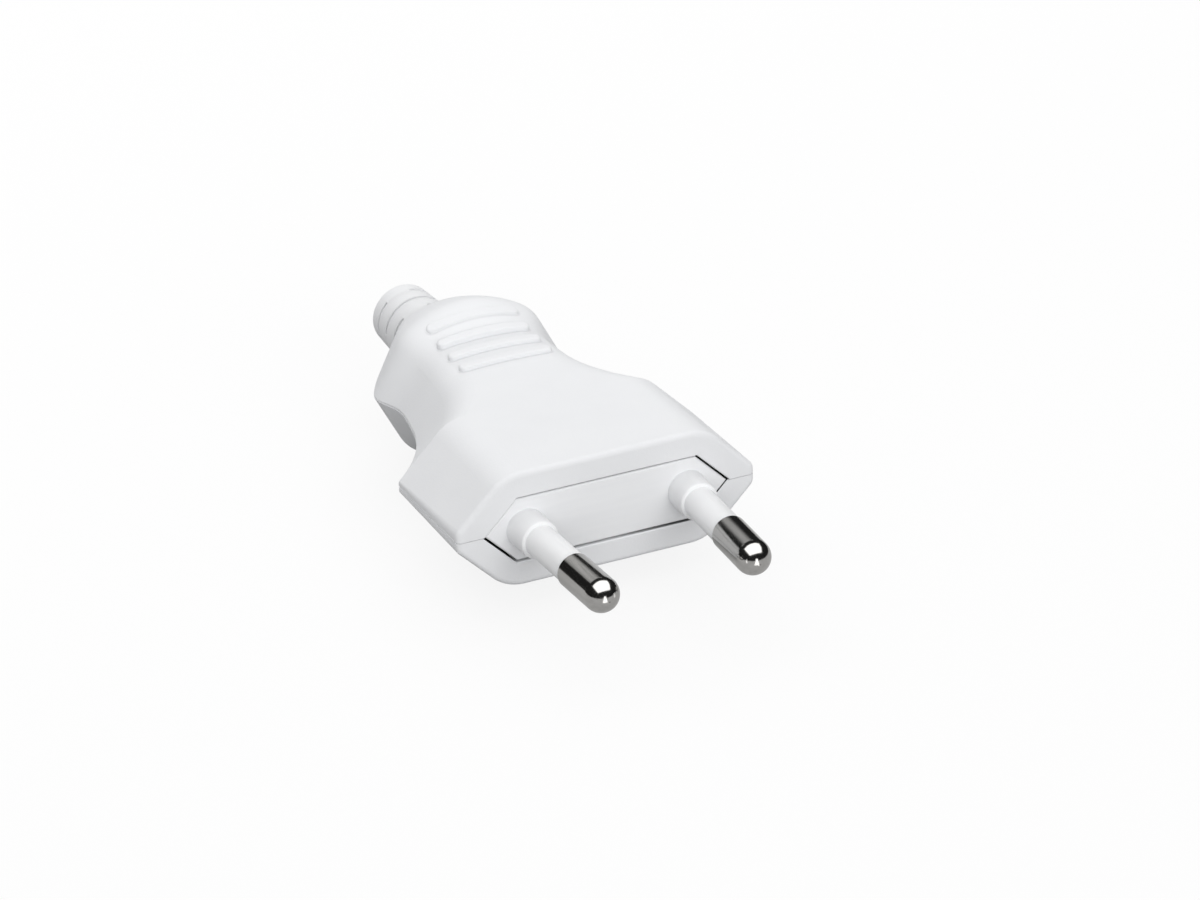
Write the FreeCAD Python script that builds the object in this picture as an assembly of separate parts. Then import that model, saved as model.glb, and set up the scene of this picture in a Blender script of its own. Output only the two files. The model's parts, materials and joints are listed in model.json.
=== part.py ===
# Two-pole flat plug with round pins, of the kind that is screwed open to fit a cord. Millimetres.
# The origin is the middle of the engagement face, the pins point along -Y, the cord leaves along +Y,
# and +Z is up, away from the surface that the plug lies on. The two shells part on the plane z = 0.
import FreeCAD
import Part
import math
import os
from collections import namedtuple

# Engagement face, a flattened hexagon
FACE_WIDTH = 35.3
FACE_HEIGHT = 13.5
FACE_RIM = 1.1
FACE_LEAN = 45.0
FACE_CORNER_RADIUS = 1.2
FACE_SHOULDER_RADIUS = 5.0
FACE_EDGE_RADIUS = 0.6

# Housing form behind the face, front to rear
BLOCK_LENGTH = 15.4
BLOCK_WIDTH = 35.5
BLOCK_RIM = 0.62
BLOCK_CORNER_RADIUS = 0.4
NECK_Y = 33.0
NECK_WIDTH = 21.0
NECK_HEIGHT = 15.4
NECK_RIM = 0.2
NECK_LEAN = 29.0
NECK_CORNER_RADIUS = 0.2
NECK_SHOULDER_RADIUS = 4.6
NECK_CROWN_RADIUS = 24.0
NECK_WIDTH_EASE = 2.4
NECK_HEIGHT_EASE = 4.0
BULB_Y = 36.8
BULB_WIDTH = 22.9
BULB_HEIGHT = 18.8
BULB_RIM = 0.15
BULB_LEAN = 27.5
BULB_CORNER_RADIUS = 0.15
BULB_SHOULDER_RADIUS = 4.6
BULB_CROWN_RADIUS = 13.2
HOUSING_LENGTH = 45.0
REAR_WIDTH = 12.4
REAR_HEIGHT = 11.6
REAR_RIM = 0.45
REAR_LEAN = 26.0
REAR_CORNER_RADIUS = 0.9
REAR_SHOULDER_RADIUS = 3.9
REAR_CROWN_RADIUS = 6.5
REAR_WIDTH_EASE = 1.3
REAR_HEIGHT_EASE = 1.5
REAR_EDGE_RADIUS = 0.7
WALL = 1.8
FRONT_WALL = 3.0
PARTING_GROOVE = 0.1
WINDOW_CHAMFER = 0.12
WINDOW_SHIFT = 0.13

# Grip ridges across each shell
RIDGE_COUNT = 4
RIDGE_PITCH = 2.97
RIDGE_LENGTH = 11.2
RIDGE_WIDTH = 1.4
RIDGE_HEIGHT = 0.45
RIDGE_EDGE_RADIUS = 0.3
RIDGE_REAR_Y = 35.0

# Pins, which lean in towards their tips
PIN_SPACING_FACE = 19.1
PIN_SPACING_TIP = 17.5
PIN_LENGTH = 19.0
PIN_DIAMETER = 4.0
BARE_LENGTH = 8.0
SLEEVE_DIAMETER = 3.68
SLEEVE_TAIL_DIAMETER = 3.3
STEM_DIAMETER = 2.6
TERMINAL_DIAMETER = 5.0
TERMINAL_Y = 5.2
TERMINAL_LENGTH = 8.4
WIRE_HOLE_DIAMETER = 2.4
WIRE_HOLE_DEPTH = 6.0

# Pin carrier, held in the window of the front wall
CARRIER_WIDTH = 28.66
CARRIER_HEIGHT = 7.3
CARRIER_RECESS = 0.15
CARRIER_EDGE_RADIUS = 0.25
CARRIER_LENGTH = 14.0
FLANGE_RIM = 1.1
FLANGE_THICKNESS = 2.0
COLLAR_DIAMETER = 4.6
COLLAR_TIP_DIAMETER = 4.4
COLLAR_LENGTH = 3.3
COLLAR_EDGE_RADIUS = 0.25
POCKET_WIDTH = 5.8

# Terminal screws
TERMINAL_SCREW_DIAMETER = 2.5
TERMINAL_HEAD_DIAMETER = 4.2
TERMINAL_HEAD_HEIGHT = 1.3
SLOT_WIDTH = 0.7
SLOT_DEPTH = 0.6

# Housing screw, driven from below into a blind boss
HOUSING_SCREW_Y = 19.0
HOUSING_SCREW_DIAMETER = 2.6
HOUSING_SCREW_LENGTH = 7.6
HOUSING_HEAD_DIAMETER = 5.4
HOUSING_HEAD_HEIGHT = 2.0
HOUSING_HEAD_DEPTH = 0.9
BOSS_WALL = 1.9

# Cord clamp on two posts of the lower shell
CLAMP_Y = 26.0
CLAMP_SCREW_SPACING = 10.6
CLAMP_WIDTH = 5.0
CLAMP_THICKNESS = 2.0
CLAMP_SEAT_Z = -1.0
CLAMP_SCREW_DIAMETER = 2.2
CLAMP_SCREW_LENGTH = 6.6
CLAMP_HEAD_DIAMETER = 3.8
CLAMP_HEAD_HEIGHT = 1.4
POST_WALL = 1.1
SADDLE_THICKNESS = 2.0
SADDLE_DEPTH = 3.4

# Bend relief boot, held by its flange in a groove of the shells
BOOT_BORE = 6.0
BOOT_ROOT_DIAMETER = 8.6
BOOT_TIP_DIAMETER = 7.5
BOOT_LENGTH = 10.6
BOOT_FLANGE_DIAMETER = 10.8
BOOT_FLANGE_THICKNESS = 1.8
BOOT_FLANGE_Y = 38.4
BOOT_EDGE_RADIUS = 0.3
BOOT_SLOT_ROWS = 3
BOOT_SLOT_PITCH = 2.6
BOOT_SLOT_END = 2.0
BOOT_SLOT_WIDTH = 0.4
BOOT_SLOT_ANGLE = 134.0
BOOT_TURN = 20.0

# Clearances
WINDOW_CLEARANCE = 0.2
SEAT_CLEARANCE = 0.1
PIN_CLEARANCE = 0.03
THREAD_CLEARANCE = 0.03
SCREW_CLEARANCE = 0.3

# A half section of the housing: height of the upright rim at the parting plane, lean of the flank,
# radius between the two, radius of the shoulder and radius of the crown (None where it is flat).
Section = namedtuple("Section", "half_width height rim lean corner shoulder crown")
FACE = Section(
    FACE_WIDTH / 2, FACE_HEIGHT / 2, FACE_RIM, FACE_LEAN, FACE_CORNER_RADIUS, FACE_SHOULDER_RADIUS, None
)
BLOCK = FACE._replace(half_width=BLOCK_WIDTH / 2, rim=BLOCK_RIM, corner=BLOCK_CORNER_RADIUS)
NECK = Section(
    NECK_WIDTH / 2, NECK_HEIGHT / 2, NECK_RIM, NECK_LEAN,
    NECK_CORNER_RADIUS, NECK_SHOULDER_RADIUS, NECK_CROWN_RADIUS,
)
BULB = Section(
    BULB_WIDTH / 2, BULB_HEIGHT / 2, BULB_RIM, BULB_LEAN,
    BULB_CORNER_RADIUS, BULB_SHOULDER_RADIUS, BULB_CROWN_RADIUS,
)
REAR = Section(
    REAR_WIDTH / 2, REAR_HEIGHT / 2, REAR_RIM, REAR_LEAN,
    REAR_CORNER_RADIUS, REAR_SHOULDER_RADIUS, REAR_CROWN_RADIUS,
)
NECK_STATIONS = (0.08, 0.2, 0.35, 0.55, 0.78)
REAR_STATIONS = (0.2, 0.4, 0.6, 0.8)
LEAST_RIM = 0.1
LEAST_CORNER_RADIUS = 0.1
LEAST_SHOULDER_RADIUS = 0.3

UP = FreeCAD.Vector(0, 0, 1)
BACK = FreeCAD.Vector(0, 1, 0)
CENTRE = FreeCAD.Vector(0, 0, 0)
FAR = 100.0
OVERCUT = 1.0
NEAR = 0.01


def vec(x, y, z):
    return FreeCAD.Vector(x, y, z)


def mix(first, second, share):
    return first + (second - first) * share


def blend(first, second, share, width_share, height_share):
    """Section between two sections; width and height follow their own shares."""
    crown = second.crown if first.crown is None else mix(first.crown, second.crown, share)
    return Section(
        mix(first.half_width, second.half_width, width_share),
        mix(first.height, second.height, height_share),
        mix(first.rim, second.rim, share),
        mix(first.lean, second.lean, share),
        mix(first.corner, second.corner, share),
        mix(first.shoulder, second.shoulder, share),
        crown,
    )


def stations():
    """Sections of the housing behind the block, each with its y."""
    rows = [(BLOCK_LENGTH, BLOCK)]
    for share in NECK_STATIONS:
        width_share = 1 - (1 - share) ** NECK_WIDTH_EASE
        section = blend(BLOCK, NECK, share, width_share, share**NECK_HEIGHT_EASE)
        rows.append((mix(BLOCK_LENGTH, NECK_Y, share), section._replace(crown=NECK.crown / share**2)))
    rows.append((NECK_Y, NECK))
    rows.append((BULB_Y, BULB))
    for share in REAR_STATIONS:
        section = blend(BULB, REAR, share, share**REAR_WIDTH_EASE, share**REAR_HEIGHT_EASE)
        rows.append((mix(BULB_Y, HOUSING_LENGTH, share), section))
    rows.append((HOUSING_LENGTH, REAR))
    return rows


def half_section(y, section, inset):
    """Closed outline of the upper half of a section, moved inwards by inset."""
    lean = math.radians(section.lean)
    along = vec(-math.sin(lean), 0, math.cos(lean))
    outward = vec(math.cos(lean), 0, math.sin(lean))
    width = section.half_width - inset
    height = section.height - inset
    round_corner = max(section.corner - inset, LEAST_CORNER_RADIUS)
    shoulder = max(section.shoulder - inset, LEAST_SHOULDER_RADIUS)
    reach = round_corner * math.tan(lean / 2)
    corner = vec(width, y, section.rim - inset * math.tan(lean / 2))
    corner += along * (max(LEAST_RIM + reach - corner.z, 0) / along.z)
    rim_top = corner - UP * reach
    flank_foot = corner + along * reach
    swing = vec(math.cos(lean / 2) - 1, 0, math.sin(lean / 2))
    corner_middle = rim_top + swing * round_corner
    foot = corner - outward * shoulder
    if section.crown is None:
        rise = (height - shoulder - foot.z) / along.z
        centre = foot + along * rise
        top_normal = UP
    else:
        crown = section.crown - inset
        crown_centre = vec(0, y, height - crown)
        offset = foot - crown_centre
        half_b = offset.dot(along)
        rise = -half_b + math.sqrt(half_b**2 - offset.dot(offset) + (crown - shoulder) ** 2)
        centre = foot + along * rise
        top_normal = (centre - crown_centre).normalize()
    flank_top = centre + outward * shoulder
    shoulder_middle = centre + (outward + top_normal).normalize() * shoulder
    shoulder_top = centre + top_normal * shoulder

    def flip(point):
        return vec(-point.x, point.y, point.z)

    def arc(start, middle, end):
        return Part.Arc(start, middle, end).toShape()

    def line(start, end):
        return Part.LineSegment(start, end).toShape()

    ground = vec(corner.x, y, 0)
    if section.crown is None:
        crown_edge = line(shoulder_top, flip(shoulder_top))
    else:
        crown_edge = arc(shoulder_top, vec(0, y, height), flip(shoulder_top))
    edges = [
        line(ground, rim_top),
        arc(rim_top, corner_middle, flank_foot),
        line(flank_foot, flank_top),
        arc(flank_top, shoulder_middle, shoulder_top),
        crown_edge,
        arc(flip(shoulder_top), flip(shoulder_middle), flip(flank_top)),
        line(flip(flank_top), flip(flank_foot)),
        arc(flip(flank_foot), flip(corner_middle), flip(rim_top)),
        line(flip(rim_top), flip(ground)),
        line(flip(ground), ground),
    ]
    return Part.Wire(edges)


def half_block(inset):
    """Front block of the housing's upper half, with a lower and sharper rim at its rear."""
    wires = [half_section(0, FACE, inset), half_section(BLOCK_LENGTH, BLOCK, inset)]
    return Part.makeLoft(wires, True, True)


def half_tail(inset):
    """Neck and bulb of the housing's upper half, lofted through the stations."""
    wires = [half_section(y, section, inset) for y, section in stations()]
    return Part.makeLoft(wires, True, False)


def on_plane(edge, axis, value):
    box = edge.BoundBox
    low = {"y": box.YMin, "z": box.ZMin}[axis]
    high = {"y": box.YMax, "z": box.ZMax}[axis]
    return abs(low - value) < NEAR and abs(high - value) < NEAR


def half_form():
    """Outer form of the upper half, with its front and rear edges rounded."""
    block = half_block(0)
    front = [e for e in block.Edges if on_plane(e, "y", 0) and e.BoundBox.ZMax > NEAR]
    block = block.makeFillet(FACE_EDGE_RADIUS, front)
    tail = half_tail(0)
    rear = [e for e in tail.Edges if on_plane(e, "y", HOUSING_LENGTH) and e.BoundBox.ZMax > NEAR]
    tail = tail.makeFillet(REAR_EDGE_RADIUS, rear)
    return block.fuse(tail)


def box(x0, x1, y0, y1, z0, z1):
    return Part.makeBox(x1 - x0, y1 - y0, z1 - z0, vec(x0, y0, z0))


def rod_y(radius, y0, y1, x=0, z=0):
    return Part.makeCylinder(radius, y1 - y0, vec(x, y0, z), BACK)


def rod_z(radius, z0, z1, x=0, y=0):
    return Part.makeCylinder(radius, z1 - z0, vec(x, y, z0), UP)


def hexagon_wire(width, height, y, grow=0):
    """Outline of a flat hexagon with 45 degree sides, all its sides moved outwards by grow."""
    rise = height / 2 + grow
    flat = width / 2 - height / 2 + grow * math.tan(math.pi / 8)
    half = flat + rise
    points = [
        vec(half, y, 0),
        vec(flat, y, rise),
        vec(-flat, y, rise),
        vec(-half, y, 0),
        vec(-flat, y, -rise),
        vec(flat, y, -rise),
    ]
    return Part.makePolygon(points + points[:1])


def hexagon(width, height, y0, y1):
    """Flat hexagon with 45 degree sides, run from y0 to y1."""
    return Part.Face(hexagon_wire(width, height, y0)).extrude(BACK * (y1 - y0))


def turned(points, axis):
    """Solid of revolution from (radius, height) points."""
    def place(radius, height):
        return vec(radius, height, 0) if axis is BACK else vec(radius, 0, height)

    outline = [place(radius, height) for radius, height in points]
    face = Part.Face(Part.makePolygon(outline + outline[:1]))
    return face.revolve(CENTRE, axis, 360)


def turned_over(shape):
    """The upper half turned half round the long axis, to lie below the parting plane."""
    shape = shape.copy()
    shape.rotate(CENTRE, BACK, 180)
    return shape


def one_solid(shape):
    """The single solid of a shape."""
    if len(shape.Solids) != 1:
        raise ValueError("expected one solid, got %d" % len(shape.Solids))
    return shape.Solids[0]


def at_pin(shape, side):
    """Stand a shape made about the Y axis on the leaning axis of the pin on one side."""
    lean = math.degrees(math.atan((PIN_SPACING_FACE - PIN_SPACING_TIP) / 2 / PIN_LENGTH))
    shape = shape.copy()
    shape.rotate(CENTRE, UP, -side * lean)
    shape.translate(vec(side * PIN_SPACING_FACE / 2, 0, 0))
    return shape


# Where pieces meet
FLANGE_FRONT = FRONT_WALL + SEAT_CLEARANCE
FLANGE_REAR = FLANGE_FRONT + FLANGE_THICKNESS
BARE_Y = BARE_LENGTH - PIN_LENGTH
TERMINAL_REAR = TERMINAL_Y + TERMINAL_LENGTH
TERMINAL_SCREW_Y = TERMINAL_REAR - WIRE_HOLE_DEPTH / 2
TERMINAL_SEAT_Z = TERMINAL_DIAMETER / 2 + SCREW_CLEARANCE
BOOT_FLANGE_REAR = BOOT_FLANGE_Y + BOOT_FLANGE_THICKNESS
CAVITY_REAR = BOOT_FLANGE_Y - BOOT_FLANGE_THICKNESS
BOOT_END = HOUSING_LENGTH + BOOT_LENGTH
HOUSING_SEAT_Z = -FACE_HEIGHT / 2 + HOUSING_HEAD_DEPTH + HOUSING_HEAD_HEIGHT
CLAMP_TOP_Z = CLAMP_SEAT_Z + CLAMP_THICKNESS
CLAMP_X = CLAMP_SCREW_SPACING / 2


def ridge_limit():
    """Solid under one smooth surface that runs at ridge height over the crown, from block to bulb."""
    half = RIDGE_LENGTH / 2 + RIDGE_WIDTH
    wires = []
    for y, section in stations():
        if section.crown is None or y > BULB_Y:
            continue
        radius = section.crown + RIDGE_HEIGHT
        edge_z = section.height - section.crown + math.sqrt(radius**2 - half**2)
        left = vec(-half, y, edge_z)
        right = vec(half, y, edge_z)
        top = Part.Arc(right, vec(0, y, section.height + RIDGE_HEIGHT), left).toShape()
        rest = Part.makePolygon([left, vec(-half, y, 0), vec(half, y, 0), right])
        wires.append(Part.Wire([top] + rest.Edges))
    return Part.makeLoft(wires, True, False)


def grip_ridges():
    """Low bars with round ends and soft edges that follow the shell's crown."""
    limit = ridge_limit()
    straight = RIDGE_LENGTH / 2 - RIDGE_WIDTH / 2
    low = NECK_HEIGHT / 4
    ridges = []
    for count in range(RIDGE_COUNT):
        y = RIDGE_REAR_Y - count * RIDGE_PITCH
        bar = box(-straight, straight, y - RIDGE_WIDTH / 2, y + RIDGE_WIDTH / 2, low, FAR)
        for x in (-straight, straight):
            bar = bar.fuse(rod_z(RIDGE_WIDTH / 2, low, FAR, x, y))
        bar = bar.removeSplitter().common(limit)
        top = [e for e in bar.Edges if e.BoundBox.ZMin > low + NEAR]
        ridges.append(bar.makeFillet(RIDGE_EDGE_RADIUS, top))
    return ridges


def parting_groove():
    """Shallow step round the sides at the parting plane, which fades out at the front and rear."""
    core = half_block(PARTING_GROOVE).fuse(half_tail(PARTING_GROOVE))
    return box(-FAR, FAR, 0, HOUSING_LENGTH, -OVERCUT, PARTING_GROOVE).cut(core)


def half_shell(solid):
    """Hollow half with all that the two shells share: ridges, window, stops and gland seat."""
    shell = solid
    for ridge in grip_ridges():
        shell = shell.fuse(ridge)
    cavity = half_block(WALL).fuse(half_tail(WALL))
    shell = shell.cut(cavity.common(box(-FAR, FAR, FRONT_WALL, CAVITY_REAR, -OVERCUT, FAR)))
    shell = shell.cut(parting_groove())
    gap = 2 * WINDOW_CLEARANCE
    window = hexagon(CARRIER_WIDTH + gap, CARRIER_HEIGHT + gap, -OVERCUT, FRONT_WALL + OVERCUT)
    mouth = [hexagon_wire(CARRIER_WIDTH + gap, CARRIER_HEIGHT + gap, WINDOW_CHAMFER)]
    mouth.append(hexagon_wire(CARRIER_WIDTH + gap, CARRIER_HEIGHT + gap, 0, WINDOW_CHAMFER))
    window = window.fuse(Part.makeLoft(mouth, True, True))
    window.translate(vec(WINDOW_SHIFT, 0, 0))
    stop_y = FLANGE_REAR + SEAT_CLEARANCE
    for side in (-1, 1):
        inner = CARRIER_WIDTH / 2 - FLANGE_RIM
        low, high = sorted((side * inner, side * FACE_WIDTH / 2))
        shell = shell.fuse(box(low, high, stop_y, stop_y + WALL, 0, FACE_HEIGHT / 2).common(solid))
    shell = shell.cut(window)
    groove_radius = BOOT_FLANGE_DIAMETER / 2 + SEAT_CLEARANCE
    groove = rod_y(groove_radius, BOOT_FLANGE_Y - SEAT_CLEARANCE, BOOT_FLANGE_REAR + SEAT_CLEARANCE)
    seat_radius = BOOT_ROOT_DIAMETER / 2 + SEAT_CLEARANCE
    seat = rod_y(seat_radius, CAVITY_REAR - OVERCUT, HOUSING_LENGTH + OVERCUT)
    return shell.cut(groove).cut(seat)


def upper_shell(solid, half):
    boss_radius = HOUSING_SCREW_DIAMETER / 2 + BOSS_WALL
    boss = rod_z(boss_radius, SEAT_CLEARANCE, FACE_HEIGHT / 2, 0, HOUSING_SCREW_Y).common(solid)
    pilot_top = HOUSING_SEAT_Z + HOUSING_SCREW_LENGTH + SCREW_CLEARANCE
    pilot = rod_z(HOUSING_SCREW_DIAMETER / 2 + THREAD_CLEARANCE, -OVERCUT, pilot_top, 0, HOUSING_SCREW_Y)
    shell = half.fuse(boss).cut(pilot)
    head_room = rod_z(
        TERMINAL_HEAD_DIAMETER / 2 + SEAT_CLEARANCE, 0,
        TERMINAL_SEAT_Z + TERMINAL_HEAD_HEIGHT + SEAT_CLEARANCE, 0, TERMINAL_SCREW_Y,
    )
    for side in (-1, 1):
        shell = shell.cut(at_pin(head_room, side))
    return one_solid(shell)


def lower_shell(solid, half):
    solid = turned_over(solid)
    shell = turned_over(half)
    floor = -FACE_HEIGHT
    head_radius = HOUSING_HEAD_DIAMETER / 2 + SCREW_CLEARANCE
    pillar = rod_z(head_radius + BOSS_WALL / 2, floor, 0, 0, HOUSING_SCREW_Y).common(solid)
    shell = shell.fuse(pillar)
    shell = shell.cut(rod_z(head_radius, floor, HOUSING_SEAT_Z, 0, HOUSING_SCREW_Y))
    hole_radius = HOUSING_SCREW_DIAMETER / 2 + SCREW_CLEARANCE
    shell = shell.cut(rod_z(hole_radius, floor, OVERCUT, 0, HOUSING_SCREW_Y))
    saddle = box(
        -CLAMP_X, CLAMP_X, CLAMP_Y - SADDLE_THICKNESS / 2, CLAMP_Y + SADDLE_THICKNESS / 2,
        floor, CLAMP_SEAT_Z - SADDLE_DEPTH,
    )
    shell = shell.fuse(saddle.common(solid))
    for side in (-1, 1):
        radius = CLAMP_SCREW_DIAMETER / 2
        post = rod_z(radius + POST_WALL, floor, CLAMP_SEAT_Z, side * CLAMP_X, CLAMP_Y).common(solid)
        pilot_low = CLAMP_TOP_Z - CLAMP_SCREW_LENGTH - SCREW_CLEARANCE
        pilot = rod_z(radius + THREAD_CLEARANCE, pilot_low, OVERCUT, side * CLAMP_X, CLAMP_Y)
        shell = shell.fuse(post).cut(pilot)
    return one_solid(shell)


def pin_carrier():
    """Moulded block that holds both pins: front plate, flange, terminal chambers and collars."""
    plate = hexagon(CARRIER_WIDTH, CARRIER_HEIGHT, CARRIER_RECESS, FLANGE_FRONT + FLANGE_THICKNESS / 2)
    front = [e for e in plate.Edges if on_plane(e, "y", CARRIER_RECESS)]
    plate = plate.makeFillet(CARRIER_EDGE_RADIUS, front)
    rim = 2 * FLANGE_RIM
    flange_height = min(CARRIER_HEIGHT + rim, FACE_HEIGHT - 2 * (WALL + SEAT_CLEARANCE))
    flange = hexagon(CARRIER_WIDTH + rim, flange_height, FLANGE_FRONT, FLANGE_REAR)
    chambers = hexagon(CARRIER_WIDTH - 2 * rim, CARRIER_HEIGHT, FLANGE_FRONT, CARRIER_LENGTH)
    body = plate.fuse(flange).fuse(chambers)
    for side in (-1, 1):
        collar = turned(
            [
                (0, -COLLAR_LENGTH),
                (COLLAR_TIP_DIAMETER / 2, -COLLAR_LENGTH),
                (COLLAR_DIAMETER / 2, CARRIER_RECESS),
                (COLLAR_DIAMETER / 2, FRONT_WALL),
                (0, FRONT_WALL),
            ],
            BACK,
        )
        tip = [e for e in collar.Edges if on_plane(e, "y", -COLLAR_LENGTH)]
        body = body.fuse(at_pin(collar.makeFillet(COLLAR_EDGE_RADIUS, tip), side))
    for side in (-1, 1):
        bore_radius = SLEEVE_TAIL_DIAMETER / 2 + PIN_CLEARANCE
        bore = rod_y(bore_radius, -COLLAR_LENGTH - OVERCUT, TERMINAL_Y + OVERCUT)
        half_pocket = POCKET_WIDTH / 2
        pocket = box(-half_pocket, half_pocket, TERMINAL_Y, FAR, 0, FAR)
        pocket = pocket.fuse(rod_y(half_pocket, TERMINAL_Y, FAR))
        body = body.cut(at_pin(bore, side)).cut(at_pin(pocket, side))
    return one_solid(body)


def pin(side):
    """Turned brass pin: round bare tip, thin stem through the sleeve, terminal pillar at the rear."""
    radius = PIN_DIAMETER / 2
    stem = STEM_DIAMETER / 2
    terminal = TERMINAL_DIAMETER / 2
    tip_end = radius - PIN_LENGTH
    points = [
        vec(0, -PIN_LENGTH, 0),
        vec(radius, tip_end, 0),
        vec(radius, BARE_Y, 0),
        vec(stem, BARE_Y, 0),
        vec(stem, TERMINAL_Y, 0),
        vec(terminal, TERMINAL_Y, 0),
        vec(terminal, TERMINAL_REAR, 0),
        vec(0, TERMINAL_REAR, 0),
    ]
    bulge = vec(radius * math.sin(math.pi / 4), tip_end - radius * math.cos(math.pi / 4), 0)
    edges = [Part.Arc(points[0], bulge, points[1]).toShape()]
    edges += [Part.LineSegment(a, b).toShape() for a, b in zip(points[1:], points[2:])]
    edges.append(Part.LineSegment(points[-1], points[0]).toShape())
    body = Part.Face(Part.Wire(edges)).revolve(CENTRE, BACK, 360)
    body = body.cut(rod_y(WIRE_HOLE_DIAMETER / 2, TERMINAL_REAR - WIRE_HOLE_DEPTH, FAR))
    screw_hole = rod_z(TERMINAL_SCREW_DIAMETER / 2 + THREAD_CLEARANCE, 0, FAR, 0, TERMINAL_SCREW_Y)
    return one_solid(at_pin(body.cut(screw_hole), side))


def pin_sleeve(side):
    """Insulating tube on the pin's stem, thinner behind the shoulder that rests on the collar."""
    tube = rod_y(SLEEVE_DIAMETER / 2, BARE_Y, -COLLAR_LENGTH)
    tube = tube.fuse(rod_y(SLEEVE_TAIL_DIAMETER / 2, -COLLAR_LENGTH, TERMINAL_Y))
    stem = rod_y(STEM_DIAMETER / 2 + PIN_CLEARANCE, BARE_Y - OVERCUT, TERMINAL_Y + OVERCUT)
    return one_solid(at_pin(tube.cut(stem), side))


def screw(shank_radius, shank_length, head_radius, head_height):
    """Slotted screw with its head's seat at z = 0 and its shank below."""
    point = shank_radius / 2
    body = turned(
        [
            (0, -shank_length),
            (shank_radius - point, -shank_length),
            (shank_radius, point - shank_length),
            (shank_radius, 0),
            (head_radius, 0),
            (head_radius, head_height),
            (0, head_height),
        ],
        UP,
    )
    rim = [e for e in body.Edges if on_plane(e, "z", head_height) and len(e.Vertexes) == 1]
    body = body.makeFillet(head_height / 4, rim)
    return body.cut(box(-FAR, FAR, -SLOT_WIDTH / 2, SLOT_WIDTH / 2, head_height - SLOT_DEPTH, FAR))


def terminal_screw(side):
    shank = TERMINAL_SCREW_DIAMETER / 2
    shape = screw(shank, TERMINAL_SEAT_Z, TERMINAL_HEAD_DIAMETER / 2, TERMINAL_HEAD_HEIGHT)
    shape.translate(vec(0, TERMINAL_SCREW_Y, TERMINAL_SEAT_Z))
    return one_solid(at_pin(shape, side))


def housing_screw():
    shape = screw(
        HOUSING_SCREW_DIAMETER / 2, HOUSING_SCREW_LENGTH, HOUSING_HEAD_DIAMETER / 2, HOUSING_HEAD_HEIGHT
    )
    shape.rotate(CENTRE, BACK, 180)
    shape.translate(vec(0, HOUSING_SCREW_Y, HOUSING_SEAT_Z))
    return one_solid(shape)


def cord_clamp():
    """Bar over the cord, with round ends about the screws and a pressing rib below its middle."""
    half = CLAMP_WIDTH / 2
    bar = box(-CLAMP_X, CLAMP_X, CLAMP_Y - half, CLAMP_Y + half, CLAMP_SEAT_Z, CLAMP_TOP_Z)
    for side in (-1, 1):
        bar = bar.fuse(rod_z(half, CLAMP_SEAT_Z, CLAMP_TOP_Z, side * CLAMP_X, CLAMP_Y))
    gap = CLAMP_X - CLAMP_SCREW_DIAMETER / 2 - POST_WALL - SCREW_CLEARANCE
    rib = CLAMP_WIDTH / 4
    rib_low = CLAMP_SEAT_Z - rib
    bar = bar.fuse(box(-gap, gap, CLAMP_Y - rib / 2, CLAMP_Y + rib / 2, rib_low, CLAMP_TOP_Z))
    for side in (-1, 1):
        hole = rod_z(CLAMP_SCREW_DIAMETER / 2 + SCREW_CLEARANCE, -FAR, FAR, side * CLAMP_X, CLAMP_Y)
        bar = bar.cut(hole)
    return one_solid(bar)


def clamp_screw(side):
    shank = CLAMP_SCREW_DIAMETER / 2
    shape = screw(shank, CLAMP_SCREW_LENGTH, CLAMP_HEAD_DIAMETER / 2, CLAMP_HEAD_HEIGHT)
    shape.translate(vec(side * CLAMP_X, CLAMP_Y, CLAMP_TOP_Z))
    return one_solid(shape)


def boot_slots():
    """Rows of paired slots through the boot's wall, each row turned a quarter from the last."""
    slots = []
    for row in range(BOOT_SLOT_ROWS):
        y = BOOT_END - BOOT_SLOT_END - (BOOT_SLOT_ROWS - row - 1) * BOOT_SLOT_PITCH
        for half_turn in (0, 180):
            slot = Part.makeCylinder(BOOT_ROOT_DIAMETER, BOOT_SLOT_WIDTH, CENTRE, UP, BOOT_SLOT_ANGLE)
            slot.rotate(CENTRE, UP, -BOOT_SLOT_ANGLE / 2)
            slot.rotate(CENTRE, vec(1, 0, 0), -90)
            slot.rotate(CENTRE, BACK, half_turn + 90 * row - BOOT_TURN)
            slot.translate(BACK * (y - BOOT_SLOT_WIDTH / 2))
            slots.append(slot)
    return slots


def bend_relief():
    root = BOOT_ROOT_DIAMETER / 2
    flange = BOOT_FLANGE_DIAMETER / 2
    body = turned(
        [
            (0, BOOT_FLANGE_Y),
            (flange, BOOT_FLANGE_Y),
            (flange, BOOT_FLANGE_REAR),
            (root, BOOT_FLANGE_REAR),
            (root, HOUSING_LENGTH),
            (BOOT_TIP_DIAMETER / 2, BOOT_END),
            (0, BOOT_END),
        ],
        BACK,
    )
    tip = [e for e in body.Edges if on_plane(e, "y", BOOT_END) and len(e.Vertexes) == 1]
    body = body.makeFillet(BOOT_EDGE_RADIUS, tip)
    body = body.cut(rod_y(BOOT_BORE / 2, BOOT_FLANGE_Y - OVERCUT, BOOT_END + OVERCUT))
    for slot in boot_slots():
        body = body.cut(slot)
    return one_solid(body)


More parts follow.
